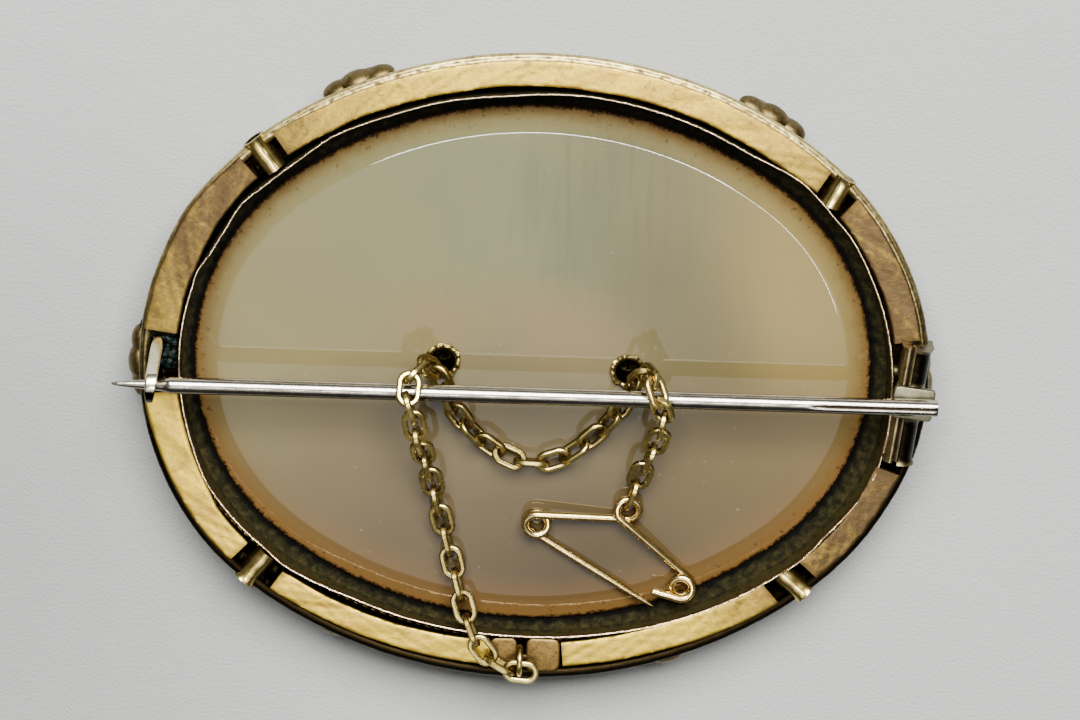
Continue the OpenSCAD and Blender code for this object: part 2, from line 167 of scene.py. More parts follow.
def rounded(corners, radius, steps):
    """Closed outline with each of its corners cut by a short curve."""
    corners = [np.array(c, float) for c in corners]
    out = []
    for i, here in enumerate(corners):
        ends = []
        for other in (corners[i - 1], corners[(i + 1) % len(corners)]):
            length = np.linalg.norm(other - here)
            ends.append(here + (other - here) / length * min(radius, 0.45 * length))
        for k in range(steps + 1):
            t = k / steps
            out.append((1 - t) ** 2 * ends[0] + 2 * t * (1 - t) * here + t * t * ends[1])
    return np.array(out)


def tube(path, radius, sides):
    """Grid round a path: one ring of points for each point of the path."""
    path = np.asarray(path, float)
    heading = np.gradient(path, axis=0)
    heading /= np.linalg.norm(heading, axis=1)[:, None]
    a = circle(sides)
    section = np.stack([np.cos(a), np.sin(a)], -1)
    rings = []
    up = UP
    for p, d, r in zip(path, heading, radius):
        up = up - up.dot(d) * d
        up /= np.linalg.norm(up)
        side = np.cross(up, d)
        rings.append(p + r * (section[:, :1] * side + section[:, 1:] * up))
    return np.array(rings)


class Shape:
    """Collects grids of points into one mesh, with a grime and a tone value for each point.

    On some pieces these values hold painted light and shade as well as dirt, tarnish and stain.
    """

    def __init__(self):
        self.points, self.faces, self.grime, self.tone, self.count = [], [], [], [], 0

    def grid(self, points, ring=True, loop=False, caps=True, grime=0, tone=0.5):
        points = np.asarray(points, float)
        n, m, _ = points.shape
        base = self.count
        self.points.append(points.reshape(-1, 3))
        for store, value in ((self.grime, grime), (self.tone, tone)):
            store.append(np.array(np.broadcast_to(value, (n, m)), float).reshape(-1))
        i, j = np.meshgrid(np.arange(n if loop else n - 1), np.arange(m if ring else m - 1), indexing="ij")
        over, right = (i + 1) % n, (j + 1) % m
        quads = [base + i * m + j, base + i * m + right, base + over * m + right, base + over * m + j]
        self.faces.extend(np.stack(quads, -1).reshape(-1, 4).tolist())
        if ring and not loop and caps:
            self.faces.append((base + np.arange(m)[::-1]).tolist())
            self.faces.append((base + (n - 1) * m + np.arange(m)).tolist())
        self.count += n * m
        return self

    def piece(self, name, material, slot="gilt_frame", replaces=("frame",), sharp=42):
        """Makes the mesh a piece of the scene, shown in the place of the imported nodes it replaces."""
        mesh = bpy.data.meshes.new(name)
        mesh.from_pydata((np.concatenate(self.points) * MM).tolist(), [], self.faces)
        for key, values in (("grime", self.grime), ("tone", self.tone)):
            layer = mesh.attributes.new(key, "FLOAT", "POINT")
            layer.data.foreach_set("value", np.concatenate(values).astype(np.float32))
        work = bmesh.new()
        work.from_mesh(mesh)
        bmesh.ops.recalc_face_normals(work, faces=work.faces)
        work.to_mesh(mesh)
        work.free()
        mesh.polygons.foreach_set("use_smooth", [True] * len(mesh.polygons))
        mesh.set_sharp_from_angle(angle=radians(sharp))
        mesh.materials.append(material)
        obj = add(name, mesh)
        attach(obj, "root")
        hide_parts(*replaces)
        return obj


def srgb(*rgb):
    return tuple((c / 255 / 12.92 if c <= 10 else ((c / 255 + 0.055) / 1.055) ** 2.4) for c in rgb) + (1,)


def fill(node, **values):
    for key, value in values.items():
        node.inputs[key].default_value = value


class Graph:
    """A material's node graph. Its textures are laid out in millimetres of the brooch.

    A colour is given as its red, green and blue from 0 to 255, as seen on a screen."""

    def __init__(self, name, shift=(0, 0, 0)):
        self.shift = shift
        self.material = bpy.data.materials.new(name)
        self.material.use_nodes = True
        self.tree = self.material.node_tree
        self.shader = self.tree.nodes["Principled BSDF"]
        place = self.node("ShaderNodeVectorMath", operation="SCALE")
        self.join(self.node("ShaderNodeTexCoord").outputs["Object"], place.inputs[0])
        fill(place, Scale=1 / MM)
        self.place = place.outputs[0]

    def node(self, kind, **settings):
        made = self.tree.nodes.new(kind)
        for key, value in settings.items():
            setattr(made, key, value)
        return made

    def join(self, value, socket):
        if isinstance(value, bpy.types.NodeSocket):
            self.tree.links.new(value, socket)
        else:
            socket.default_value = srgb(*value) if isinstance(value, tuple) else value

    def mapped(self, at, turn, scale, kind="POINT"):
        spot = self.node("ShaderNodeMapping", vector_type=kind)
        self.join(self.place, spot.inputs["Vector"])
        fill(spot, Location=at, Rotation=(0, 0, radians(turn)), Scale=scale)
        return spot.outputs[0]

    def noise(self, scale, detail, rough, stretch=(1, 1, 1), turn=0, shift=None, warp=0):
        made = self.node("ShaderNodeTexNoise")
        self.join(self.mapped(shift or self.shift, turn, stretch), made.inputs["Vector"])
        fill(made, Scale=scale, Detail=detail, Roughness=rough, Distortion=warp)
        return made.outputs["Fac"]

    def blob(self, x, y, half_x, half_y, turn=0):
        """Soft patch: 1 at its centre, 0 at its edge."""
        made = self.node("ShaderNodeTexGradient", gradient_type="SPHERICAL")
        spot = self.mapped((x, y, 0), turn, (half_x, half_y, 400), "TEXTURE")
        self.join(spot, made.inputs["Vector"])
        return made.outputs["Fac"]

    def ramp(self, value, *stops):
        made = self.node("ShaderNodeValToRGB")
        self.join(value, made.inputs["Fac"])
        parts = made.color_ramp.elements
        while len(parts) < len(stops):
            parts.new(0.5)
        for part, (at, colour) in zip(parts, stops):
            part.position = at
            part.color = srgb(*colour) if isinstance(colour, tuple) else (colour, colour, colour, 1)
        return made.outputs["Color"]

    def mix(self, value, a, b):
        made = self.node("ShaderNodeMix", data_type="RGBA")
        for given, socket in ((value, 0), (a, 6), (b, 7)):
            self.join(given, made.inputs[socket])
        return made.outputs[2]

    def math(self, how, a, b, clamp=False):
        made = self.node("ShaderNodeMath", operation=how, use_clamp=clamp)
        self.join(a, made.inputs[0])
        self.join(b, made.inputs[1])
        return made.outputs[0]

    def times(self, a, b, clamp=False):
        return self.math("MULTIPLY", a, b, clamp)

    def plus(self, a, b, clamp=False):
        return self.math("ADD", a, b, clamp)

    def minus(self, a, b, clamp=False):
        return self.math("SUBTRACT", a, b, clamp)

    def painted(self, key):
        return self.node("ShaderNodeAttribute", attribute_name=key).outputs["Fac"]

    def bump(self, height, depth, strength):
        made = self.node("ShaderNodeBump")
        fill(made, Strength=strength, Distance=depth * MM)
        self.join(height, made.inputs["Height"])
        return made.outputs[0]

    def finish(self, colour, roughness, metallic, normal, specular=0.5):
        for key, value in (("Base Color", colour), ("Roughness", roughness), ("Metallic", metallic),
                           ("Specular IOR Level", specular), ("Normal", normal)):
            self.join(value, self.shader.inputs[key])
        return self.material


def metal(name, bright, deep, dirt, rough=(0.28, 0.45), patch=0.35, dirty=0.5, bumpy=0.02, seed=0,
          shade=0, grain=0, sides=None):
    """Worn metal: two tones in patches, dirt in spots and wherever the mesh says grime; on some pieces
    the grime is painted shade inside hollows and slots and under things.

    It is darker by shade where the mesh's tone is low: tarnish on the band, painted light and shade on
    the edge strip, hinge ears, catch, stem and safety pin. It is specked by grain, and sides is the
    colour of what doesn't face up, painted shade on the sides of things."""
    g = Graph(name, (seed * 7.3, seed * 3.1, 0))
    patches = g.noise(patch, 5, 0.6)
    mottle = g.noise(patch * 7, 4, 0.6)
    tone = g.mix(g.ramp(g.mix(0.45, patches, mottle), (0.4, 0), (0.6, 1)), bright, deep)
    if grain:
        wear = g.times(g.ramp(g.noise(3.4, 6, 0.8), (0.47, 0), (0.6, 1)), grain)
        wear = g.times(wear, g.minus(1.15, g.painted("tone")))
        tone = g.mix(wear, tone, dirt)
    if shade:
        blotch = g.ramp(g.noise(patch * 3.6, 6, 0.7), (0.38, 0.8), (0.62, 1.02))
        low_here = g.times(g.minus(1, g.painted("tone")), shade)
        tone = g.mix(g.times(low_here, blotch, clamp=True), tone, dirt)
    # Painted shade: whatever turns sideways or down takes the sides colour
    if sides:
        facing = g.node("ShaderNodeSeparateXYZ")
        g.join(g.node("ShaderNodeNewGeometry").outputs["Normal"], facing.inputs[0])
        tone = g.mix(g.ramp(facing.outputs["Z"], (0.35, 1), (0.8, 0)), tone, sides)
    spots = g.ramp(g.noise(patch * 3.1, 6, 0.7), (0.56, 0), (0.66, 1))
    spots = g.times(spots, dirty)
    low = g.times(g.painted("grime"), g.plus(g.times(g.noise(5, 5, 0.7), 1.1), 0.45), clamp=True)
    dirt_and_shade_here = g.math("MAXIMUM", spots, low, clamp=True)
    colour = g.mix(dirt_and_shade_here, tone, dirt)
    scratch = g.noise(9, 3, 0.6, stretch=(1, 0.07, 0.3), turn=37)
    dull = g.plus(g.times(g.noise(1.3, 5, 0.6), rough[1] - rough[0]), rough[0])
    dull = g.plus(dull, g.times(dirt_and_shade_here, 0.2), clamp=True)
    shape = g.plus(g.times(g.noise(2.2, 4, 0.6), 0.8), g.times(scratch, 0.08))
    return g.finish(colour, dull, 1, g.bump(shape, bumpy, 0.5))


gilt = metal("gilt", (220, 188, 58), (198, 160, 66), (84, 67, 43), rough=(0.32, 0.5), patch=0.3, dirty=0.45,
             bumpy=0.06, shade=1.15, grain=0.45)
edge_gilt = metal("edge_gilt", (232, 212, 140), (170, 146, 92), (24, 18, 8), patch=0.6, dirty=0.6,
                  bumpy=0.04, seed=1, shade=1.35, grain=0.4)
shell_gilt = metal("shell_gilt", (176, 140, 72), (132, 98, 46), (34, 22, 8), rough=(0.34, 0.5), seed=2)
old_gilt = metal("old_gilt", (150, 130, 84), (104, 86, 48), (22, 16, 8), rough=(0.28, 0.46), patch=0.9,
                 dirty=0.7, seed=8, shade=1, grain=0.5)
plate_gilt = metal("plate_gilt", (164, 134, 74), (118, 92, 50), (34, 22, 10), rough=(0.34, 0.5), patch=0.8,
                   dirty=0.7, seed=12, shade=1, grain=0.5)
ear_gilt = metal("ear_gilt", (176, 160, 118), (112, 98, 64), (16, 13, 6), patch=0.9, dirty=0.8, seed=10,
                 shade=1.3, grain=0.6)
catch_metal = metal("catch_metal", (240, 234, 208), (206, 196, 160), (7, 6, 3), rough=(0.16, 0.26),
                    patch=0.9, dirty=0.2, seed=9, shade=1.5)
tube_gold = metal("tube_gold", (240, 214, 132), (206, 176, 94), (10, 8, 3), rough=(0.2, 0.28), patch=0.6,
                  dirty=0.25, bumpy=0.01, seed=3, shade=1)
# Its sides colour is painted shade on the links' sideways faces
chain_gold = metal("chain_gold", (238, 216, 136), (190, 164, 86), (30, 22, 8), patch=0.7,
                   rough=(0.24, 0.32), dirty=0.3, bumpy=0.002, seed=4, sides=(104, 82, 38))
pin_gold = metal("pin_gold", (234, 210, 144), (190, 160, 88), (50, 36, 14), patch=0.8, rough=(0.18, 0.26),
                 dirty=0.3, bumpy=0.004, seed=6, shade=0.8)
plate_steel = metal("plate_steel", (158, 154, 128), (120, 114, 86), (34, 30, 18), rough=(0.36, 0.5),
                    patch=0.9, seed=15, shade=1, grain=0.3)
steel = metal("steel", (198, 192, 180), (168, 160, 146), (52, 42, 28), rough=(0.14, 0.24), dirty=0.3,
              bumpy=0.01, seed=5, shade=1)


def bezel_material():
    """Bright along its edge, brown and olive down its wall, black where the dirt has gathered."""
    g = Graph("bezel_metal")
    uneven = g.times(g.minus(g.noise(1.8, 6, 0.7), 0.5), 0.7)
    depth = g.plus(g.painted("grime"), uneven, clamp=True)
    colour = g.ramp(depth, (0, (240, 214, 172)), (0.14, (200, 158, 110)), (0.26, (50, 30, 12)),
                    (0.46, (52, 46, 22)), (0.62, (25, 23, 11)), (0.78, (5, 4, 2)))
    metallic = g.ramp(depth, (0.2, 1), (0.45, 0.3), (0.7, 0))
    dull = g.ramp(depth, (0, 0.22), (0.3, 0.5), (0.6, 0.85))
    return g.finish(colour, dull, metallic, g.bump(g.noise(3, 5, 0.6), 0.06, 0.7), 0.05)


def stone_material():
    """Polished banded stone: soft patches of colour seen through it, and a brown stain round its rim."""
    g = Graph("stone")
    cloud = g.noise(0.11, 4, 0.5, warp=0.5)
    base = g.ramp(cloud, (0.34, (109, 105, 73)), (0.5, (116, 110, 75)), (0.66, (105, 104, 73)))
    for x, y, half_x, half_y, turn, amount, colour in (
        (-17, 1, 17, 22, 0, 0.55, (120, 106, 66)), (18, 4, 15, 22, 0, 0.75, (131, 111, 61)),
        (0, -15, 36, 17, 0, 0.95, (58, 46, 28)), (-10, -11, 18, 12, 20, 0.4, (103, 88, 61)),
        (-6, 12, 20, 12, 0, 0.5, (103, 106, 76)), (8, 11, 9, 16, 12, 0.5, (86, 84, 60)),
        (10.5, 4, 6, 9, 30, 0.5, (80, 75, 53)), (12, -1, 6, 7, 0, 0.35, (80, 74, 50)),
        (1.9, 2.9, 7, 4, -20, 0.5, (130, 106, 73)), (-6.8, 3.2, 5, 3.6, 0, 0.45, (130, 106, 67)),
        (-1, -3, 18, 11, 0, 0.45, (98, 84, 60)), (15, -8, 13, 11, 30, 0.7, (88, 72, 42))):
        where = g.ramp(g.blob(x, y, half_x, half_y, turn), (0, 0), (0.7, 1))
        base = g.mix(g.times(where, amount), base, colour)
    streak = g.noise(1.4, 4, 0.6, stretch=(1, 0.08, 1), turn=-4)
    where = g.ramp(g.blob(5, 13, 9, 11), (0, 0), (0.6, 1))
    base = g.mix(g.times(where, g.ramp(streak, (0.45, 0), (0.65, 0.35))), base, (84, 82, 58))
    speck = g.ramp(g.noise(1.9, 3, 0.5), (0.7, 0), (0.76, 0.5))
    base = g.mix(speck, base, (140, 131, 98))
    level = g.node("ShaderNodeSeparateXYZ")
    g.join(g.place, level.inputs[0])
    # Painted reflection: the bevel is mixed a little lighter and yellower than the flat
    bevel = g.times(g.minus(3.695, level.outputs["Z"]), 9, clamp=True)
    base = g.mix(g.times(bevel, 0.3), base, (124, 112, 72))
    low = g.ramp(g.plus(g.times(level.outputs["Y"], -0.025), 0.5), (0.3, 0), (0.8, 1))
    away = g.times(g.minus(1, g.painted("tone")), 0.8)
    soft = g.plus(away, g.times(g.minus(g.noise(0.9, 6, 0.75), 0.5), 0.18))
    above = g.ramp(soft, (0, 1), (0.1, 0.75), (0.22, 0.35), (0.42, 0))
    below = g.ramp(soft, (0, 1), (0.14, 0.8), (0.36, 0.4), (0.75, 0))
    base = g.mix(g.mix(low, above, below), base, g.mix(low, (72, 50, 20), (108, 76, 35)))
    ragged = g.plus(away, g.times(g.minus(g.noise(2.3, 6, 0.8), 0.5), 0.22))
    ragged = g.plus(ragged, g.times(g.minus(1, low), 0.02))
    crusted = g.ramp(ragged, (0.035, 1), (0.075, 0))
    base = g.mix(crusted, base, (20, 11, 4))
    spots = g.ramp(g.noise(2.2, 5, 0.6, shift=(5, 5, 0)), (0.6, 0), (0.68, 1))
    spots = g.times(spots, g.ramp(soft, (0.1, 0.8), (0.3, 0)))
    base = g.mix(spots, base, (40, 24, 8))
    base = g.mix(g.painted("grime"), base, (232, 222, 200))
    dull = g.math("MAXIMUM", g.ramp(g.noise(0.7, 5, 0.6), (0.4, 0.03), (0.75, 0.06)),
                  g.times(crusted, 0.05))
    return g.finish(base, dull, 0, g.bump(g.noise(1.2, 3, 0.5), 0.004, 0.3), 0.4)


def crust_material():
    """Green-black crust that has grown in the corner beside the catch."""
    g = Graph("verdigris")
    colour = g.ramp(g.noise(2.6, 5, 0.7), (0.46, (3, 6, 5)), (0.6, (7, 22, 18)), (0.7, (22, 54, 46)))
    return g.finish(colour, 0.4, 0, g.bump(g.noise(4, 5, 0.7), 0.05, 0.8), 0.12)


crust_look = crust_material()
bezel_metal = bezel_material()
stone_look = stone_material()

# Gaps in the flat band: where they are, how wide and how slanted their ends are
GAPS = [(45, 2.6, 9), (127, 2.8, 0), (179.2, 4.6, 0), (231, 3.4, 0), (270.5, 4.75, 0), (307.1, 3.2, 6),
        (354.5, 9.8, 0)]

# How bright the worn gilding is round the rim: the outline's normal and a level from 0 to 1
BAND_TONE = [(22, 0), (34, 0.05), (40, 0.2), (50, 0.4), (64, 0.7), (80, 0.86), (100, 0.86), (112, 0.6),
             (124, 0.3), (132, 0.06), (150, 0.1), (168, 0.25), (184, 0.75), (200, 1), (278, 1), (292, 0.95),
             (300, 0.6), (308, 0.2), (330, 0)]
# How far the band's outer edge has been worn or hidden under dirt beside the edge wire
BAND_EDGE = [(118, 0), (130, 0.25), (150, 0.28), (185, 0.22), (200, 0), (225, -0.1), (245, -0.35),
             (270, -0.5), (286, -0.45), (300, -0.15), (320, 0)]
# How far its inner edge reaches towards the stone there
BAND_REACH = [(60, 0), (76, 0.16), (124, 0.16), (134, 0.03), (142, -0.05), (150, -0.24), (156, -0.35),
              (174, -0.42), (190, -0.5), (200, -0.42), (209, -0.28), (215, 0), (232, 0.12), (245, 0.02),
              (262, -0.3), (290, -0.4), (305, -0.1), (320, 0)]
# How bright the edge strip is there: darker down the sides and darkest along the bottom,
# painted shade that stands in for its reflection of the shaded floor
EDGE_TONE = [(0, 0.3), (30, 0.6), (60, 1), (110, 1), (130, 0.8), (160, 0.55), (185, 0.3), (210, -0.1),
             (330, -0.1), (350, 0.15)]
# The rim is a little flatter than its four arcs in places: the outline's normal and how far it lies inside
FLAT = [(15, 0), (32, -0.08), (50, -0.1), (66, 0), (124, 0), (134, -0.2), (146, -0.1), (158, -0.25),
        (180, -0.25), (202, -0.18), (222, 0), (280, 0), (296, -0.12), (312, -0.24), (332, -0.2), (346, 0)]


def row_value(rows, phi):
    """Value at an angle, from rows of angle and value that go on round the rim."""
    angles = np.array([r[0] for r in rows], float)
    line = np.concatenate([angles - 360, angles, angles + 360])
    return np.interp(phi % 360, line, np.tile([r[1] for r in rows], 3))


def level_at(rows, s):
    return row_value(rows, angle_at(s))


def back_band():
    shape = Shape()
    edges = []
    for phi, width, slant in GAPS:
        radius = END_R if on_end(phi) else SIDE_R
        half = width / 2 * radius / (radius + BAND_MID)
        edges.append((along(phi) - half, along(phi) + half, slant))
    across = np.concatenate([[-0.46, -0.5], np.linspace(-0.62, -2.28, 10), [-2.4, -2.44]])
    under = np.linspace(-2.4, -0.5, 5)
    offset = np.concatenate([across, [BAND_IN], under, [BAND_OUT]])
    for k, (_, start, slant_a) in enumerate(edges):
        stop, _, slant_b = edges[(k + 1) % len(edges)]
        stop += RIM if k == len(edges) - 1 else 0
        s = np.linspace(start, stop, int((stop - start) / 0.22))[:, None]
        lean = np.tan(radians(slant_a)) * unit(1 - (s - start) / 3)
        lean = lean + np.tan(radians(slant_b)) * unit(1 - (stop - s) / 3)
        at = s + lean * (offset - BAND_MID)
        inner = 0.05 * wave(at, 11, 14, 1.6) + level_at(BAND_REACH, at)
        outer = 0.03 * wave(at, 12, 9, 1.1)
        weight = (offset - BAND_OUT) / (BAND_IN - BAND_OUT)
        worn = level_at(FLAT, at) + level_at(BAND_EDGE, at)
        moved = offset + weight * inner + (1 - weight) * (outer + worn)
        dent = 0.022 * wave(at + 2.1 * offset, 13, 7, 1.3) + 0.012 * wave(at - 3 * offset, 14, 3, 0.6)
        m = len(across)
        z = np.full(at.shape, BAND_Z - 0.35)
        edge_fall = np.array([0.075, 0.025] + [0] * 10 + [0.025, 0.075])
        z[:, :m] = BAND_Z - edge_fall + dent[:, :m]
        z[:, [m, -1]] = BAND_Z - 0.2
        near_end = unit(1 - np.minimum(s - start, stop - s) / 0.5)
        rim_line = unit(1 - np.abs(offset - BAND_OUT) / 0.14)
        rim_line = rim_line + 0.8 * unit(1 - np.abs(offset - BAND_IN) / 0.12)
        # Darker near the cut ends and in broken lines along both edges; sides and underside fully dark,
        # painted shade under and beside the band
        dirt = 0.6 * near_end + 0.7 * rim_line * unit(0.7 + 0.6 * wave(at, 16, 4, 0.5))
        dirt[:, m:] = 1
        tone = level_at(BAND_TONE, at) + 0.12 * wave(at + 2 * offset, 15, 9, 1.2)
        shape.grid(rim_grid(at, moved, z), grime=dirt, tone=unit(tone))
    shape.piece("back_band", gilt)


def edge_strip():
    """The round edge beside the band, with a worn double line along it."""
    s = np.arange(0, RIM, 0.16)[:, None]
    a = np.radians([[-80, -50, -25, 0, 18, 32, 44, 54, 62, 70, 78, 86, 96, 108, 130, 160, 200, 240]])
    groove = np.exp(-((np.degrees(a) - 66) / 11) ** 2) * np.clip(0.75 + 0.6 * wave(s, 21, 6, 0.7), 0, 1.2)
    broken = unit(level_at(EDGE_TONE, s) - 0.3) * unit(1.6 * wave(s, 22, 2.4, 0.4) - 0.35)
    broken = broken * np.exp(-((np.degrees(a) - 88) / 18) ** 2)
    r = 0.4 - 0.06 * groove - 0.12 * broken + 0.015 * wave(s + 0.5 * a, 23, 5, 0.5)
    off, z = -0.4 + level_at(FLAT, s) + r * np.cos(a), 4.5 + r * np.sin(a)
    dirt = unit(groove * 0.9 + broken * 1.1)
    # Painted shade from EDGE_TONE: darker down the sides and at the bottom
    tone = unit(level_at(EDGE_TONE, s) + 0.1 * wave(s, 24, 7, 1))
    Shape().grid(rim_grid(s, off, z), loop=True, grime=dirt, tone=tone).piece("edge_strip", edge_gilt)


# The dome in front: its centre's offset and level, and the radius of its outside
DOME_OFF, DOME_Z, DOME_R = -2.45, 3.25, 2.75


def shell():
    """Side wall and hollow domed front, one sheet thick."""
    s = np.arange(0, RIM, 0.3)[:, None]
    arc = np.radians(np.linspace(-69, -135, 18))
    outer = [(-0.3, 4.4), (-0.55, 3.6), (-0.86, 2.6), (-1.2, 1.5)]
    outer += arc_points(arc, DOME_R, DOME_OFF, DOME_Z)
    inner = arc_points(arc[::-1], DOME_R - 0.35, DOME_OFF, DOME_Z)
    inner += [(-1.55, 1.5), (-1.21, 2.6), (-0.9, 3.6), (-0.65, 4.4)]
    section = np.array(outer + inner)
    wobble = 0.02 * wave(s + 1.7 * section[None, :, 1], 31, 9, 1.5)
    # The inside of the sheet is painted dark, painted shade inside the hollow frame
    dirt = np.repeat([0.25, 1], [len(outer), len(inner)])[None]
    off = section[None, :, 0] + wobble + level_at(FLAT, s) * unit((section[None, :, 1] - 1) / 3)
    shape = Shape().grid(rim_grid(s, off, section[None, :, 1]), loop=True, grime=dirt)
    shape.piece("front_shell", shell_gilt)


def beaded_edges():
    """Rows of small beads round the front's outer edge and round its opening."""
    shape = Shape()
    for offset, radius, level in ((-1.5, 0.34, 1.05), (-4.43, 0.32, 1.25)):
        beads = round(RIM / 0.72)
        s = np.linspace(0, RIM, beads * 8, endpoint=False)[:, None]
        part = (s * beads / RIM) % 1
        r = radius * (0.62 + 0.38 * np.sqrt(unit(1 - (2 * part - 1) ** 2)))
        a = circle(12)[None]
        shape.grid(rim_grid(s, offset + r * np.cos(a), level + r * np.sin(a)), loop=True)
    shape.piece("beaded_edges", shell_gilt)


# Ornaments: the outline's normal and how far the lobes on the side are moved outwards
ORNAMENTS = [(60, 0), (112.5, 0), (180.5, 0), (244.5, 0.05), (288, 0.1), (358, -0.25)]
# Lobes of an ornament on the side wall: place along the rim, offset, level and radius
LOBES = [(-1.45, -0.28, 3.15, 0.85), (0.1, -0.12, 3.25, 0.95), (1.5, -0.28, 3.15, 0.85),
         (-0.62, -0.45, 2.1, 0.85), (0.78, -0.45, 2.1, 0.85)]


def wall_at(z):
    """How far the outside of the side wall stands in from the outline at a level."""
    return np.interp(z, [1.5, 2.6, 3.6, 4.4], [-1.2, -0.86, -0.55, -0.3])


def petal(centre, ahead, across, up, length, width, height, crease=0.14):
    """Closed rounded petal with a fold along its middle, on its upper side."""
    a = circle(28)
    rings = []
    for t in np.linspace(0.02, np.pi - 0.02, 17):
        ring = sin(t)
        x, y = ring * np.cos(a), ring * np.sin(a)
        upper = ring if t < np.pi / 2 else 0
        fold = crease * np.exp(-(y / 0.22) ** 2) * upper
        fold = fold + (0.05 if crease else 0) * np.abs(np.sin(4 * a)) * upper
        z = cos(t) - fold
        level = centre + length * x[:, None] * ahead + width * y[:, None] * across
        rings.append(level + height * z[:, None] * up)
    return np.array(rings)


def ornaments():
    """Applied ornaments: a flower of cupped petals on the front, with lobes that go on up the side wall."""
    shape = Shape()
    down = -UP
    for phi, moved in ORNAMENTS:
        centre, out, side = local_frame(phi, -2, 0)

        def outside(points, by_wall):
            """Flattens what would stand inside the sheet of the frame."""
            depth = (points - centre) @ out - 2
            if by_wall:
                short = np.clip(wall_at(points[..., 2]) - 0.12 - depth, 0, None)
                return points + short[..., None] * out
            dome = DOME_Z - np.sqrt(np.clip(DOME_R ** 2 - (depth - DOME_OFF) ** 2, 0.1, None)) + 0.12
            points[..., 2] = np.minimum(points[..., 2], dome)
            return points

        for k in range(8):
            a = radians(45 * k)
            ahead = out * cos(a) + side * sin(a)
            across = side * cos(a) - out * sin(a)
            at = centre + out * 1.04 * cos(a) + side * 1.45 * sin(a) + UP * 0.78
            tilt = ahead * 0.96 + down * 0.2 * (1 if k % 2 else -0.4)
            cupped = petal(at, tilt, across, down, 0.86, 0.62, 0.56)
            shape.grid(outside(cupped, False), grime=0.15, tone=0.8)
        shape.grid(petal(centre + UP * 0.62, out, side, down, 0.78, 0.78, 0.62, 0), tone=0.8)
        for along_rim, outwards, level, radius in LOBES:
            at, ahead, side_here = local_frame(phi, outwards + moved, level)
            at = at + side_here * along_rim
            face = ahead * 0.9 + UP * 0.35
            turned = np.cross(side_here, face)
            lobe = petal(at, turned, side_here, face, radius * 1.05, radius * 1.4, radius * 0.8, 0)
            shape.grid(outside(lobe, True), grime=0.2, tone=0.7)
    shape.piece("ornaments", old_gilt)


def local_frame(phi, offset, z, slant=0):
    """Origin on the rim and two directions there: outwards and along."""
    x, y = oval(phi, offset)
    a = radians(phi + slant)
    out, side = (cos(a), sin(a), 0), (-sin(a), cos(a), 0)
    return np.array([float(x), float(y), z]), np.array(out), np.array(side)


# Cross tubes: the outline's normal, how far they are turned from it and where their seam is
TUBES = [(45, 18, 62), (127, 0, 118), (231, 0, 70), (307.1, 12, 112)]
# Black lumps beside them: the outline's normal, offset, place along the rim and size
BLACK_LUMPS = [(231, -1.9, 1.25, 0.62), (231, -0.75, 1.45, 0.42), (231, -1.2, -1.2, 0.5), (127, -1.9, 1, 0.36)]


def cross_tubes():
    """Rolled sheet tubes across the gaps in the band, with a fine seam and a flared outer lip."""
    shape = Shape()
    for number, (phi, slant, seam) in enumerate(TUBES):
        origin, out, side = local_frame(phi, -1.585, 4.4, slant)
        half = (2.17 - 1.5 * sin(radians(abs(slant)))) / cos(radians(slant)) / 2
        u = np.linspace(-half, half + 0.5, 28)
        outer = np.radians(np.linspace(seam + 2.5, seam + 360 - 2.5, 44))
        rings = []
        for v in u:
            flare = 0.12 * max(0, (v - half) / 0.5) ** 2
            shake = 0.015 * sin(5 * v + number)
            r_out, r_in = 0.77 + flare + shake, 0.5 + flare
            section = arc_points(outer, r_out) + arc_points(outer[::-1], r_in)
            rings.append([origin + out * v + side * c + UP * h for c, h in section])
        # Their insides are painted dark, painted shade inside the tubes
        shape.grid(rings, grime=np.repeat([0, 1], len(outer))[None], tone=0.9)
    for phi, offset, along_rim, size in BLACK_LUMPS:
        at, out, side = local_frame(phi, offset, 4.3)
        blob = petal(at + side * along_rim, out, side, UP, size * 1.1, size * 0.8, size, 0.1)
        shape.grid(blob, grime=1, tone=0)
    shape.piece("cross_tubes", tube_gold, "gold_tube", ["frame"])


def on_hinge_line(points):
    """Points given as across, up from the hinge line and along it."""
    a = radians(HINGE_LEAN)
    x, up, t = points[..., 0], points[..., 1], points[..., 2]
    there = HINGE_AT[0] + x * cos(a) - t * sin(a)
    return np.stack([there, HINGE_AT[1] + x * sin(a) + t * cos(a), HINGE_Z + up], -1)


def ear_section(r):
    """Sheet bent round the barrel line: a thin left wall, the slot and a wide right wall."""
    left = [(0.12 - r, -1.85), (0.1 - r, 0.1), (0.14 - r, 0.55), (-0.66, 0.82)]
    slot = [(-0.44, 0.76), (-0.42, -0.45), (-0.12, -0.45), (-0.08, 0.7)]
    right = arc_points(np.radians([99, 84, 70, 55, 40, 25, 12]), r) + [(r, 0), (r, -1.85)]
    return rounded(left + slot + right, 0.07, 2)


# Length of the stem's own barrel between the two ears
KNUCKLE = 2.3


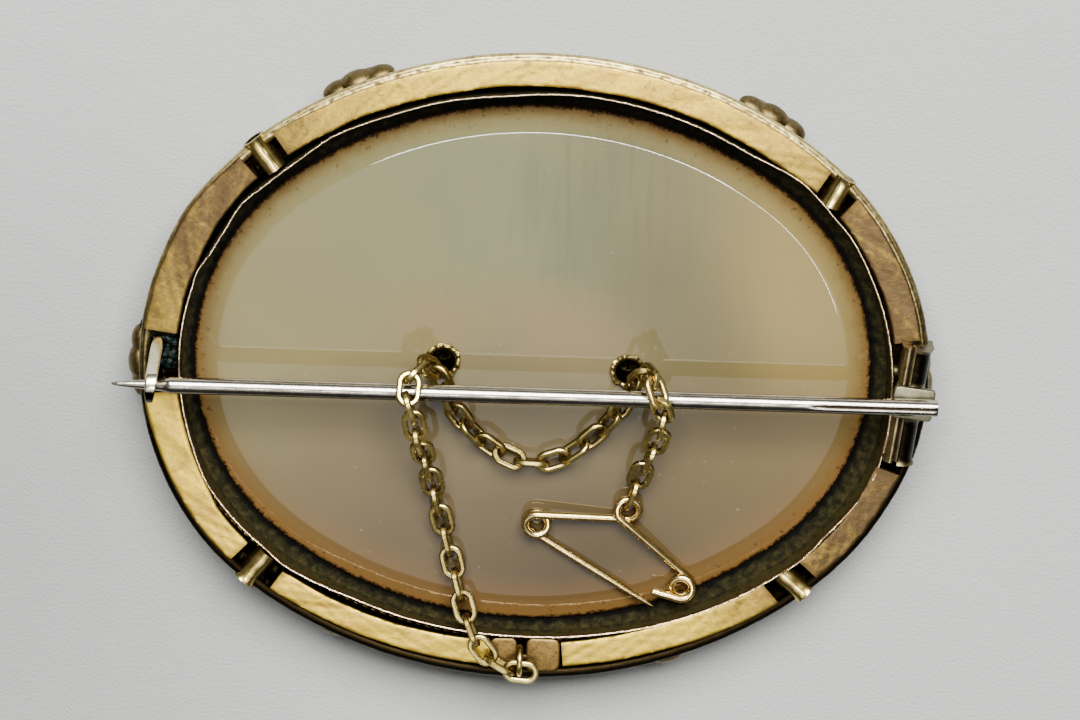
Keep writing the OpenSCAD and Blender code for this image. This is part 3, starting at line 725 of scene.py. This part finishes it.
def hinge_ears():
    shape = Shape()
    gap = KNUCKLE / 2 + 0.05
    for low, high, flare_end in ((gap, gap + 2.7, 1), (-gap - 3.45, -gap, -1)):
        rings = []
        rows = np.linspace(low, high, 26)
        for t in rows:
            reach = (high - t) if flare_end > 0 else (t - low)
            flare = 0.2 * max(0, 1 - reach / 0.5) ** 2
            if flare_end < 0:
                flare += 0.12 * max(0, 1 - (high - t) / 0.4)
            rings.append([(x, up, t) for x, up in ear_section(0.98 + flare)])
        rings = np.array(rings)
        inside = (rings[..., 1] < 0.6) & (np.abs(rings[..., 0] + 0.27) < 0.2)
        end = np.minimum(rows - low, high - rows)[:, None]
        # Painted light and shade: lighter on the thin left wall and the ends, dark on the wide right wall;
        # the inside of the slot is painted dark as shade
        shade = np.where(rings[..., 0] < -0.4, 1, 0.1) + 0.6 * unit(1 - end / 0.3)
        shape.grid(on_hinge_line(rings), grime=np.where(inside, 1, 0.1), tone=unit(shade))
    shape.piece("hinge_ears", ear_gilt)


CATCH_X, CATCH_Y = -26.6, -0.62


def catch():
    """Flat strip that rises from its foot and curls over the stem."""
    shape = Shape()
    thick, width, leg, curl_steps = 0.42, 0.84, 3.45, 34
    mid_r = 0.88 + thick / 2
    start, turn = radians(29), radians(186)
    path = [(mid_r * cos(start) + d * sin(start), mid_r * sin(start) - d * cos(start))
            for d in np.linspace(leg, 0.2, 14)]
    path += arc_points(np.linspace(start, start + turn, curl_steps), mid_r)
    path = np.array([(CATCH_X, CATCH_Y + y, STEM_Z + z) for y, z in path])
    half_w = np.full(len(path), width / 2)
    half_w[:5] *= [0.45, 0.72, 0.88, 0.96, 1]
    round_stem = np.linspace(29, 215, curl_steps)
    half_w[-curl_steps:] *= np.interp(round_stem, [29, 70, 165, 215], [1, 1, 0.5, 0.3])
    base = rounded([(-1, -1), (1, -1), (1, 1), (-1, 1)], 0.35, 3)
    rings = []
    heading = np.gradient(path, axis=0)
    for p, d, w in zip(path, heading, half_w):
        d = d / np.linalg.norm(d)
        side = np.array([1, 0, 0])
        up = np.cross(side, d)
        rings.append([p + side * w * a + up * thick / 2 * b * (1 - 0.12 * a * a) for a, b in base])
    rings = np.array(rings)
    rings[..., 0] += 0.1 * (rings[..., 1] - CATCH_Y)
    # Painted shade: past the top of its curl, where it turns down beside and under the stem, the strip is
    # dark
    level = np.ones(len(rings))
    level[-curl_steps:] = np.interp(round_stem, [29, 84, 104, 215], [1, 1, 0.1, 0])
    shape.grid(rings, tone=level[:, None])
    foot = rounded([(-0.85, 0), (0.85, 0), (0.85, 1.2), (-0.85, 1.2)], 0.4, 4)
    centre = np.array([0, 0.6])
    rings = []
    for z, size in ((3.9, 1), (4.35, 1), (4.5, 0.9), (4.55, 0.7)):
        rings.append([(CATCH_X + x, 1.35 + y, z) for x, y in centre + (foot - centre) * size])
    # Its foot is painted dark, painted shade of the hollow it stands in
    shape.grid(np.array(rings), grime=1, tone=0.1)
    crust = Shape()
    rng = random.Random(4)
    for _ in range(80):
        y = rng.uniform(-0.3, 2.9)
        x = rng.uniform(-26.3 - 0.9 * max(0, y - 1.2), -25.35)
        size = rng.uniform(0.22, 0.5)
        turn = rng.uniform(0, 3.14)
        ahead = np.array([cos(turn), sin(turn), rng.uniform(-0.5, 0.5)])
        at = np.array([x, y, rng.uniform(3.7, 4.4)])
        crust.grid(petal(at, ahead, np.cross(UP, ahead), UP, size * 1.3, size * 0.8, size, 0.25))
    crust.piece("verdigris", crust_look, sharp=25)
    shape.piece("catch", catch_metal)


def chain_plate():
    """Two D-shaped plates joined by the bar that carries the chain's ring."""
    shape = Shape()
    for side, reach in ((-1, 2.3), (1, 2.75)):
        outline = rounded([(0.32, -22.62), (reach, -22.45), (reach, -20.05), (0.32, -20)], 0.6, 6)
        rings = []
        centre = outline.mean(0)
        for z, size in ((4.76, 0.97), (4.8, 1), (4.98, 1), (5.03, 0.96), (5.045, 0.86)):
            rings.append([(side * x - 0.3, y, z) for x, y in centre + (outline - centre) * size])
        level = np.array([0.3, 0.3, 0.4, 0.75, 0.75])[:, None]
        shape.grid(np.array(rings), grime=0.15, tone=level)
    bar = [[(x, -21.5 + 0.26 * cos(t), 4.9 + 0.14 * sin(t)) for t in circle(12)]
           for x in np.linspace(-0.5, 0.5, 5) - 0.3]
    shape.grid(np.array(bar), grime=0.5)
    shape.piece("chain_plate", plate_gilt)


# The bezel's edge: the outline's normal and how far in from the outline it stands
BEZEL_EDGE = [(10, -2.7), (24, -2.75), (36, -2.6), (41, -2.7), (53, -2.45), (60, -2.9), (70, -2.75),
              (84, -2.7), (94, -2.95), (102, -2.8), (110, -2.82), (118, -2.62), (124, -3), (131, -3.08),
              (138, -2.88), (145, -3.21), (152, -3.25), (157, -2.94), (161, -3.08), (175, -3.1),
              (190, -3.1), (200, -3), (209, -2.76), (230, -2.93), (235, -2.69), (245, -3.16), (268, -3.28),
              (281, -3.09), (287, -2.9), (295, -2.72), (312, -2.45), (320, -2.62), (334, -2.21),
              (337, -2.11), (346, -2.3), (355, -2.55)]


def bezel_offset(phi):
    fine = np.arange(360)
    line = row_value(BEZEL_EDGE, fine)
    soft = sum(np.roll(line, k) * w for k, w in ((-2, 0.1), (-1, 0.2), (0, 0.4), (1, 0.2), (2, 0.1)))
    return np.interp(phi % 360, np.append(fine, 360), np.append(soft, soft[0]))


def bezel():
    """Upright thin sheet round the stone with an uneven edge, and the dark seat below it."""
    s = np.arange(0, RIM, 0.2)[:, None]
    phi = angle_at(s)
    edge = bezel_offset(phi) + 0.02 * wave(s, 41, 2.5, 0.6)
    z = np.array([1.2, 2.4, 3.4, 4.2, 4.7, 4.93, 4.99, 5, 4.98, 4.92, 4.7, 4.2, 3.5])[None]
    part = unit((z - 2) / 3)
    thick = np.array([0, 0, 0, 0, 0, 0, 0.03, 0.07, 0.11, 0.13, 0.14, 0.15, 0.2])[None]
    off = -2.95 * (1 - part) + (edge + 0.06) * part - thick
    height = z + 0.05 * wave(s, 42, 11, 1.2) * part
    seat_off = np.array([-3.6, -4, -4, -3.3])[None]
    seat_z = np.array([3.15, 3.05, 1.7, 1.2])[None]
    lumps = 0.12 * wave(s, 43, 3, 0.5) * np.array([1, 0.6, 0, 0])[None]
    off = np.concatenate([off, seat_off + lumps], 1)
    height = np.concatenate([height, seat_z + lumps], 1)
    dirt = np.array([0.9, 0.9, 0.8, 0.6, 0.4, 0.2, 0, 0, 0, 0.15, 0.42, 0.5, 0.56, 0.62, 0.95, 1, 1])[None]
    shape = Shape().grid(rim_grid(s, off, height), loop=True, grime=dirt)
    shape.piece("bezel", bezel_metal, "collet", ["setting"])


# Centres of the two tubes through the stone
EYELETS = [(-6.33, 0.5), (6.77, 0)]
# Carved flowers: place, radius, petals and turn
FLOWERS = [(0, 0.4, 4.6, 6, 0), (-12.2, 3.6, 3.2, 5, 20), (12.4, -3.2, 3.2, 5, 50), (-7.6, -7.2, 2.5, 5, 0),
           (7.8, 7.4, 2.5, 5, 36)]
# Carved leaves: place of the stalk's end, length and heading
LEAVES = [(-4.6, 4.2, 4.6, 140), (-2, 5.6, 4.4, 100), (2.6, 5.2, 4.4, 60), (4.6, -3.8, 4.6, -40),
          (2, -5.2, 4.4, -80), (-2.6, -5, 4.4, -110), (-15.2, 1, 4, 220), (15.6, -0.6, 4, 40),
          (-10.8, -1.6, 3.6, 200), (11, 2.4, 3.6, 20)]


def carving(x, y):
    """Height of the carved spray of flowers at a point of the stone's front."""
    height = np.zeros_like(x)
    for cx, cy, radius, petals, turn in FLOWERS:
        for k in range(petals):
            u, v = turned(x - cx, y - cy, radians(turn + 360 * k / petals))
            reach = np.hypot((u - 0.6 * radius) / (0.4 * radius), v / (0.36 * radius))
            cup = 0.5 * np.sqrt(unit(1 - reach ** 2)) - 0.1 * np.exp(-(v / 0.22) ** 2) * (reach < 1)
            height = np.maximum(height, cup)
        ring = np.hypot(x - cx, y - cy) / (0.24 * radius)
        seeds = 0.05 * np.cos(9 * (x - cx)) * np.cos(9 * (y - cy))
        middle = 0.68 * np.sqrt(unit(1 - ring ** 2)) ** 0.7 + seeds
        height = np.maximum(height, np.where(ring < 1, middle, 0))
    for cx, cy, length, heading in LEAVES:
        u, v = turned(x - cx, y - cy, radians(heading))
        u, v = u / length, v / length
        width = np.where((u > 0) & (u < 1), 0.27 * np.sin(np.pi * unit(u)) ** 0.8, 1e-3)
        inside = (u > 0) & (u < 1) & (np.abs(v) < width)
        vein = 0.07 * np.exp(-(v / 0.03) ** 2) + 0.05 * np.abs(np.sin(16 * (u - np.abs(v))))
        blade = 0.4 * np.sqrt(unit(1 - (v / width) ** 2))
        height = np.maximum(height, np.where(inside, blade - vein * 0.8, 0))
    return height


# How far in from the stone's side its tone falls from 1 to 0
RIM_STAIN = 4


def stone():
    """The stone: carved front, drilled through, flat back with a wide bevel that turns over softly."""
    s = np.linspace(0, RIM, 520, endpoint=False)[:, None]
    phi = angle_at(s)

    def rings(edge, shares):
        x, y = oval(phi, edge)
        return x * shares, y * shares

    flat = np.concatenate([[1, 0.998, 0.994, 0.988], np.linspace(0.975, 0, 32)])[None]
    fx, fy = rings(STONE_FLAT, flat[:, 1:])
    sides = [(STONE_OUT, 1.65), (STONE_OUT, 2.6), (STONE_OUT, 3.06), (-4.02, 3.12), (-4.1, 3.21)]
    slope = [(x, 3.21 + 0.46 * (-4.1 - x) / 1.6) for x in np.linspace(-4.2, -5.6, 12)]
    turn_over = [(-5.7, 3.665), (-5.78, 3.68), (-5.86, 3.69), (-5.95, 3.697), (STONE_FLAT, STONE_Z)]
    steps = np.array(sides + slope + turn_over)
    edge = rim_grid(s, steps[None, :, 0], steps[None, :, 1])
    top = np.stack([fx, fy, np.full_like(fx, STONE_Z)], -1)
    front_share = np.linspace(1, 0, 84)[None]
    gx, gy = rings(-4.86, front_share)
    front = np.stack([gx, gy, 0.95 - carving(gx, gy)], -1)
    join = rim_grid(s, np.array([[-4, -4.4, -4.82]]), np.array([[1.6, 1.6, 1.55]]))
    grid = np.concatenate([front[:, ::-1], join[:, ::-1], edge, top], 1)
    shape = Shape()
    n, m, _ = grid.shape
    raised = np.zeros((n, m))
    raised[:, :front_share.shape[1]] = unit(carving(gx, gy)[:, ::-1] / 0.12)
    near = np.zeros((n, m))
    first = front_share.shape[1] + join.shape[1]
    near[:, first:first + len(steps)] = 1 - (STONE_OUT - steps[None, :, 0]) / RIM_STAIN
    x, y = oval(phi, STONE_FLAT)
    support = x * np.cos(np.radians(phi)) + y * np.sin(np.radians(phi))
    inwards = STONE_OUT - STONE_FLAT + (1 - flat[:, 1:]) * support
    near[:, first + len(steps):] = unit(1 - inwards / RIM_STAIN)
    shape.grid(grid, ring=False, loop=True, grime=raised, tone=near)
    obj = shape.piece("cameo_stone", stone_look, "cameo_stone", ["cameo"], sharp=50)
    drill(obj, EYELETS, 0.93)
    for face in obj.data.polygons:
        flat_top = face.normal.z > 0.99999 and face.center.z > 3.69 * MM
        corner = 3.08 * MM < face.center.z < 3.2 * MM
        face.use_smooth = not (flat_top or corner)


def drill(obj, centres, radius):
    """Cuts round holes right through a piece."""
    work = bmesh.new()
    work.from_mesh(obj.data)
    bmesh.ops.remove_doubles(work, verts=work.verts, dist=1e-7)
    work.to_mesh(obj.data)
    work.free()
    drills = bmesh.new()
    for x, y in centres:
        made = bmesh.ops.create_cone(drills, cap_ends=True, segments=48, depth=0.012,
                                     radius1=radius * MM, radius2=radius * MM)
        bmesh.ops.translate(drills, verts=made["verts"], vec=(x * MM, y * MM, 0.0023))
    mesh = bpy.data.meshes.new("drills")
    drills.to_mesh(mesh)
    drills.free()
    tool = add("drills", mesh)
    cut = obj.modifiers.new("holes", "BOOLEAN")
    cut.operation = "DIFFERENCE"
    cut.solver = "EXACT"
    cut.object = tool
    done = bpy.data.meshes.new_from_object(obj.evaluated_get(bpy.context.evaluated_depsgraph_get()))
    obj.modifiers.clear()
    obj.data = done
    bpy.data.objects.remove(tool)


def eyelets():
    """Rough rolled rims of the two tubes through the stone."""
    for name, node, (cx, cy), seed, bright in (("eyelet_tube_left", "eyelet_left", EYELETS[0], 5, 40),
                                               ("eyelet_tube_right", "eyelet_right", EYELETS[1], 9, 215)):
        a = circle(72)
        rng = random.Random(seed)
        waves = [rng.uniform(0.3, 1) * np.sin(k * a + rng.uniform(0, 6.3)) for k in (2, 3, 5, 7, 9, 12, 17)]
        rough = sum(waves) / 3.2
        profile = [(0, 0.66), (0.9, 0.68), (1.25, 0.78), (1.3, 0.88), (1.2, 0.93), (0.95, 0.94), (0.95, 2),
                   (0.95, 3.6), (1, 3.73), (1.16, 3.8), (1.27, 3.9), (1.25, 3.99), (1.12, 4.04), (0.96, 4),
                   (0.84, 3.88), (0.79, 3.6), (0.78, 2.6), (0.78, 1.3), (0.5, 1.2), (0, 1.2)]
        rings = []
        for r, z in profile:
            lift = unit((z - 3.7) / 0.3)
            out = unit((r - 0.85) / 0.3) * lift
            radius = r + 0.09 * out * rough
            level = z + 0.07 * lift * np.roll(rough, 9)
            rings.append(np.stack([cx + radius * np.cos(a), cy + radius * np.sin(a), level], -1))
        grid = np.array(rings)
        # Painted light and shade: the inside of each tube is dark and its outer wall darker, and the rolled
        # rim is bright towards one side and darker round the rest, a painted highlight
        dirt = np.zeros(grid.shape[:2])
        dirt[-6:] = 1
        dirt[5:10] = 0.7
        shine = unit(0.75 + 0.5 * np.cos(a - radians(bright)) + 0.25 * rough)
        dirt[10:-6] = (1 - shine)[None]
        Shape().grid(grid, caps=False, grime=dirt).piece(name, tube_gold, "gold_tube", [node])


STEM_TIP, STEM_END = np.array([-29.4, -0.6, STEM_Z]), np.array([28.44, -1, STEM_Z])


def stem():
    """Steel stem with its ground point, the slot along its hinge end and the plate of its barrel."""
    shape = Shape()
    length = np.linalg.norm(STEM_END - STEM_TIP)
    t = np.concatenate([np.linspace(0, 3.7, 16), np.linspace(3.75, 4.6, 8),
                        np.linspace(4.9, length - 0.05, 170), [length]])
    r = np.interp(t, [0, 0.1, 1.2, 2.6, 3.5, 4.1, length - 0.05, length],
                  [0.08, 0.13, 0.26, 0.37, 0.44, 0.6, 0.6, 0.55])
    a = circle(64)[None]
    slot = np.exp(-((np.degrees(a) - 90) / 10) ** 2) * unit(t[:, None] - length + 9)
    radius = r[:, None] * (1 - 0.3 * slot)
    d = (STEM_END - STEM_TIP) / length
    side = np.array([d[1], -d[0], 0])
    centre = STEM_TIP + t[:, None] * d
    round_it = np.cos(a)[..., None] * -side + np.sin(a)[..., None] * UP
    points = centre[:, None] + radius[..., None] * round_it
    # Painted reflection of the stone: the lower half is darker, with a thin dark line where it begins; the
    # slot is painted dark as shade
    unsteady = 2.5 * np.sin(0.9 * t[:, None])
    lower_half = unit((np.degrees(a) - 78 + unsteady) / 9)
    under = 0.62 * lower_half + 0.2 * unit((np.degrees(a) - 138) / 16)
    dark_reflection_line = np.exp(-((np.degrees(a) - 80 + unsteady) / 5) ** 2) * (0.7 + 0.3 * np.sin(2.3 * t[:, None]))
    under = under * np.clip((t[:, None] - 3.4) / 0.5, 0.3, 1)
    shape.grid(points, grime=unit(slot * 1.3 + dark_reflection_line), tone=1 - unit(under))
    half = KNUCKLE / 2
    plate = rounded([(-1.2, -half), (1.7, -half), (1.7, half), (-1.2, half)], 0.3, 4)
    rings = [[(x, up, y) for x, y in plate * size]
             for up, size in ((0.64, 0.97), (0.68, 1), (1.06, 1), (1.11, 0.975), (1.125, 0.94))]
    lid = Shape().grid(on_hinge_line(np.array(rings)), grime=0.2, tone=0.8)
    lid.piece("stem_plate", plate_steel, "pin_steel", ["pin_stem"])
    b = circle(36)
    rings = []
    for y, size in ((-half, 0.42), (-half, 0.94), (0.04 - half, 0.97), (half - 0.04, 0.97), (half, 0.94),
                    (half, 0.42)):
        rings.append(np.stack([size * np.cos(b), size * np.sin(b), np.full_like(b, y)], -1))
    shape.grid(on_hinge_line(np.array(rings)), loop=True)
    shape.piece("stem", steel, "pin_steel", ["pin_stem"])


# Safety pin: the wire's radius, then its three loops as centre, radius and turn (1 to the left)
PIN_WIRE = 0.3
COIL, EYE, HOOK = (0.56, -11.35, 0.82, -1), (7.07, -10.15, 0.8, 1), (11.05, -15.95, 0.75, -1)
PIN_TIP, PIN_TAIL = np.array([9.2, -17.7, 4.1]), np.array([8.96, -16.12, 4.98])


def safety_pin():
    """Open safety pin bent from one wire: point, coil, eye for the chain and hook."""
    def on_loop(loop, heading, z):
        a = radians(heading - 90 * loop[3])
        return np.array([loop[0] + loop[2] * cos(a), loop[1] + loop[2] * sin(a), z])

    def arm(a, b):
        v = np.array([b[0] - a[0], b[1] - a[1]])
        return degrees(atan2(v[1], v[0]) + a[3] * asin((a[2] + b[2]) / np.linalg.norm(v)))

    def loop_points(loop, start, stop, low, high):
        sweep = (loop[3] * (stop - start)) % 360
        if sweep < 250:
            sweep += 360
        steps = int(sweep / 8)
        return [on_loop(loop, start + loop[3] * sweep * k / steps, low + (high - low) * k / steps)
                for k in range(steps + 1)]

    v = np.array(COIL[:2]) - PIN_TIP[:2]
    first = degrees(atan2(v[1], v[0]) + asin(COIL[2] / np.linalg.norm(v)))
    second, third = arm(COIL, EYE), arm(EYE, HOOK)
    turns = [loop_points(COIL, first, second, 4.02, 4.95), loop_points(EYE, second, third, 4.22, 4.86),
             loop_points(HOOK, third, 163.7, 4.02, 4.95)]
    path = [PIN_TIP + (turns[0][0] - PIN_TIP) * t
            for t in (0, 0.03, 0.08, 0.16, 0.24, 0.4, 0.55, 0.7, 0.85)]
    for k, turn in enumerate(turns):
        path += turn
        after = turns[k + 1][0] if k < 2 else PIN_TAIL
        path += [turn[-1] + (after - turn[-1]) * t for t in (0.2, 0.4, 0.6, 0.8)]
    path.append(PIN_TAIL)
    radius = np.full(len(path), PIN_WIRE)
    radius[:6] = [0.03, 0.09, 0.15, 0.21, 0.25, 0.275]
    rings = tube(path, radius, 18)
    # Painted shade: the underside of the wire is darker
    shape = Shape().grid(rings, tone=1 - 0.6 * unit(-np.sin(circle(18)) + 0.1)[None])
    shape.piece("safety_pin_wire", pin_gold, "chain_gold", ["safety_pin"], sharp=80)


back_band()
edge_strip()
shell()
beaded_edges()
ornaments()
cross_tubes()
hinge_ears()
catch()
chain_plate()
bezel()
stone()
eyelets()
stem()
safety_pin()


def dress(node, material):
    slots = nodes[node].data.materials
    if not slots:
        slots.append(material)
    for i in range(len(slots)):
        slots[i] = material


rivet_metal = metal("rivet_metal", (150, 134, 104), (120, 104, 78), (50, 40, 28), seed=7)
for name in sorted(nodes):
    if name.startswith("link_") or name == "chain_ring":
        dress(name, chain_gold)
        fuller = nodes[name].modifiers.new("worn_round", "DISPLACE")
        fuller.strength = 0.045 * MM
        fuller.mid_level = 0
    if name == "hinge_rivet":
        dress(name, rivet_metal)


def floor():
    mesh = bpy.data.meshes.new("floor")
    size = 1.5
    mesh.from_pydata([(-size, -size, 0), (size, -size, 0), (size, size, 0), (-size, size, 0)], [],
                     [(0, 1, 2, 3)])
    g = Graph("floor")
    paper = g.ramp(g.noise(0.02, 3, 0.5), (0.3, (171, 174, 169)), (0.7, (177, 180, 175)))
    shadow = g.times(g.ramp(g.blob(-44, -14, 36, 46), (0, 0), (0.8, 1)), 0.85)
    paper = g.mix(shadow, paper, (150, 153, 149))
    hide = g.plus(g.noise(4.4, 3, 0.6, warp=0.4), g.times(g.noise(0.5, 3, 0.5), 0.5))
    mesh.materials.append(g.finish(paper, 0.75, 0, g.bump(hide, 0.12, 0.7)))
    obj = add("floor", mesh)


def soft_box(name, at, aim, size, power, card=False, turn=0):
    """Rectangular lamp, level along X and then turned; a card is only seen in shiny surfaces."""
    data = bpy.data.lights.new(name, "AREA")
    data.shape = "RECTANGLE"
    data.size, data.size_y = size[0] * MM, size[1] * MM
    data.energy = power
    obj = add(name, data)
    obj.location = Vector(at) * MM
    back = (Vector(at) - Vector(aim)).normalized()
    level = Vector((cos(radians(turn)), sin(radians(turn)), 0)).normalized()
    level = (level - back * level.dot(back)).normalized()
    obj.rotation_euler = Matrix((level, back.cross(level), back)).transposed().to_euler()
    obj.visible_diffuse = not card


def world(level):
    made = bpy.data.worlds.new("studio")
    made.use_nodes = True
    fill(made.node_tree.nodes["Background"], Color=(1, 1, 1, 1), Strength=level)
    bpy.context.scene.world = made


floor()
world(0.1)
soft_box("key", (30, 335, 440), (0, 0, 0), (440, 290), 11.5)
soft_box("strip_top", (8, -36, 520), (0, 0, 0), (155, 24), 1, card=True)
soft_box("strip_right", (107, -86, 520), (0, 0, 0), (105, 20), 0.35, card=True, turn=-50)
soft_box("sky_card", (0, -185, 560), (0, 0, 0), (640, 240), 0.8, card=True)
